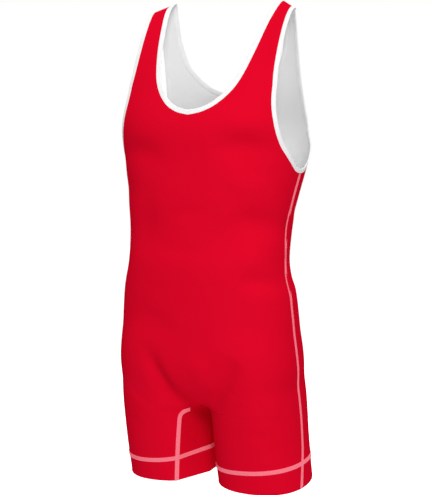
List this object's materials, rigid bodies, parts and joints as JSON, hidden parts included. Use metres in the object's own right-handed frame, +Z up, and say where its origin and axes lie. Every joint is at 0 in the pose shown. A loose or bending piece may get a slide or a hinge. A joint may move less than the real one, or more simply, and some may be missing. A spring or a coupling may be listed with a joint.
{
  "type": "powerlifting singlet",
  "caption": "Sleeveless one-piece stretch singlet with thigh-length legs, scooped neck, bound edges and contrast flat seams, filled out as worn.",
  "frame": {"origin": "midway between the two shoulder straps, at the height where they rest on the shoulders", "axes": "+Z up towards the head, -Y to the wearer's front, +X to the wearer's left"},
  "size_m": [0.3404, 0.2442, 0.833],
  "materials": {
    "front_panel_knit": "smooth stretch knit with a soft sheen",
    "back_panel_knit": "smooth stretch knit with a soft sheen",
    "neck_binding_tape": "folded elastic tape",
    "left_armhole_binding_tape": "folded elastic tape",
    "right_armhole_binding_tape": "folded elastic tape"
  },
  "bodies": {
    "root": {"front_panel": "front_panel_knit", "back_panel": "back_panel_knit", "neck_binding": "neck_binding_tape", "left_armhole_binding": "left_armhole_binding_tape", "right_armhole_binding": "right_armhole_binding_tape"}
  },
  "joints": []
}
